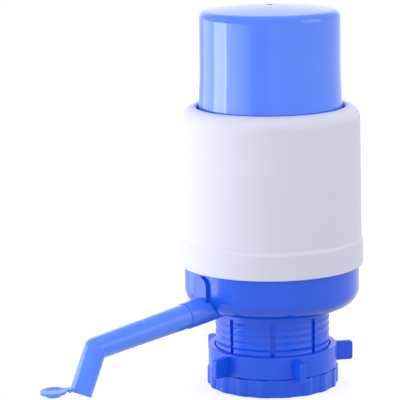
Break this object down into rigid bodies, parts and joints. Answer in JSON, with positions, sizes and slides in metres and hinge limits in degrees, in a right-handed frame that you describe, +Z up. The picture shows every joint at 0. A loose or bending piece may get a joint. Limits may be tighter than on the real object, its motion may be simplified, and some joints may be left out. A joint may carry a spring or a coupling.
{
  "type": "water jug hand pump",
  "caption": "Hand bellows pump for a large water bottle: round press cap in a white sleeve, blue base with a bent swivel spout, and a slotted clamping neck with a winged lock nut.",
  "frame": {"origin": "centre of the neck collet's mouth, in the plane that the pump stands on and that the bottle neck enters", "axes": "+Z up along the pump's axis towards the press cap; the spout points along -X; +Y completes the right-handed frame"},
  "size_m": [0.1949, 0.0966, 0.2018],
  "materials": {
    "cap_blue": "smooth gloss",
    "body_blue": "satin gloss",
    "shell_white": "soft gloss",
    "bellows_white": "soft matt",
    "inner_white": "matt",
    "seal_blue": "satin",
    "seal_rubber": "matt",
    "valve_rubber": "soft matt",
    "spring_steel": "drawn wire",
    "screw_steel": "bright"
  },
  "bodies": {
    "base": {"base_cup": "body_blue", "sleeve": "shell_white", "base_deck": "inner_white", "deck_seal": "seal_rubber", "bottom_clamp_ring": "spring_steel", "base_screws": "screw_steel", "spout_socket": "body_blue", "neck_collet": "body_blue", "neck_plate": "body_blue", "neck_screws": "screw_steel", "bottle_seal": "seal_blue", "water_elbow": "body_blue", "elbow_o_ring": "seal_rubber", "spout_o_ring": "seal_rubber"},
    "plunger": {"press_cap": "cap_blue", "bellows_top_plate": "inner_white", "top_clamp_ring": "spring_steel", "top_ring_screws": "screw_steel", "bellows": "bellows_white", "return_spring": "spring_steel"},
    "intake_disc": {"intake_valve": "valve_rubber"},
    "air_disc": {"air_valve": "valve_rubber"},
    "clamp_ring": {"clamp_ring": "body_blue"},
    "lock_nut": {"lock_nut": "body_blue"},
    "spout": {"spout_tube": "body_blue"},
    "nozzle_cap": {"nozzle_cap": "body_blue"}
  },
  "joints": [
    {"name": "press_stroke", "type": "slide", "parent": "base", "child": "plunger", "axis": [0, 0, -1], "range_m": [0, 0.042], "stiffness_N_per_m": 150, "springref_m": -0.03, "deforming": ["bellows", "return_spring"]},
    {"name": "intake_valve_lift", "type": "slide", "parent": "plunger", "child": "intake_disc", "axis": [0, 0, -1], "range_m": [0, 0.0011], "stiffness_N_per_m": 50, "springref_m": -0.001},
    {"name": "air_valve_lift", "type": "slide", "parent": "base", "child": "air_disc", "axis": [0, 0, -1], "range_m": [0, 0.0011], "stiffness_N_per_m": 50, "springref_m": -0.001},
    {"name": "nut_feed", "type": "slide", "parent": "base", "child": "clamp_ring", "axis": [0, 0, 1], "range_m": [0, 0.0166]},
    {"name": "lock_nut_turn", "type": "hinge", "parent": "clamp_ring", "child": "lock_nut", "pos_m": [0, 0, 0.0155], "axis": [0, 0, 1], "range_deg": [0, 1620]},
    {"name": "spout_swivel", "type": "hinge", "parent": "base", "child": "spout", "pos_m": [-0.05765, 0, 0.04475], "axis": [-0.9906, 0, -0.1366], "range_deg": [-90, 90]},
    {"name": "nozzle_cap_flip", "type": "hinge", "parent": "spout", "child": "nozzle_cap", "pos_m": [-0.13158, 0, 0.01844], "axis": [0, -1, 0], "range_deg": [0, 154]}
  ],
  "couplings": [
    {"joint": "lock_nut_turn", "follows": "nut_feed", "rad_per_m": 1698.2}
  ]
}
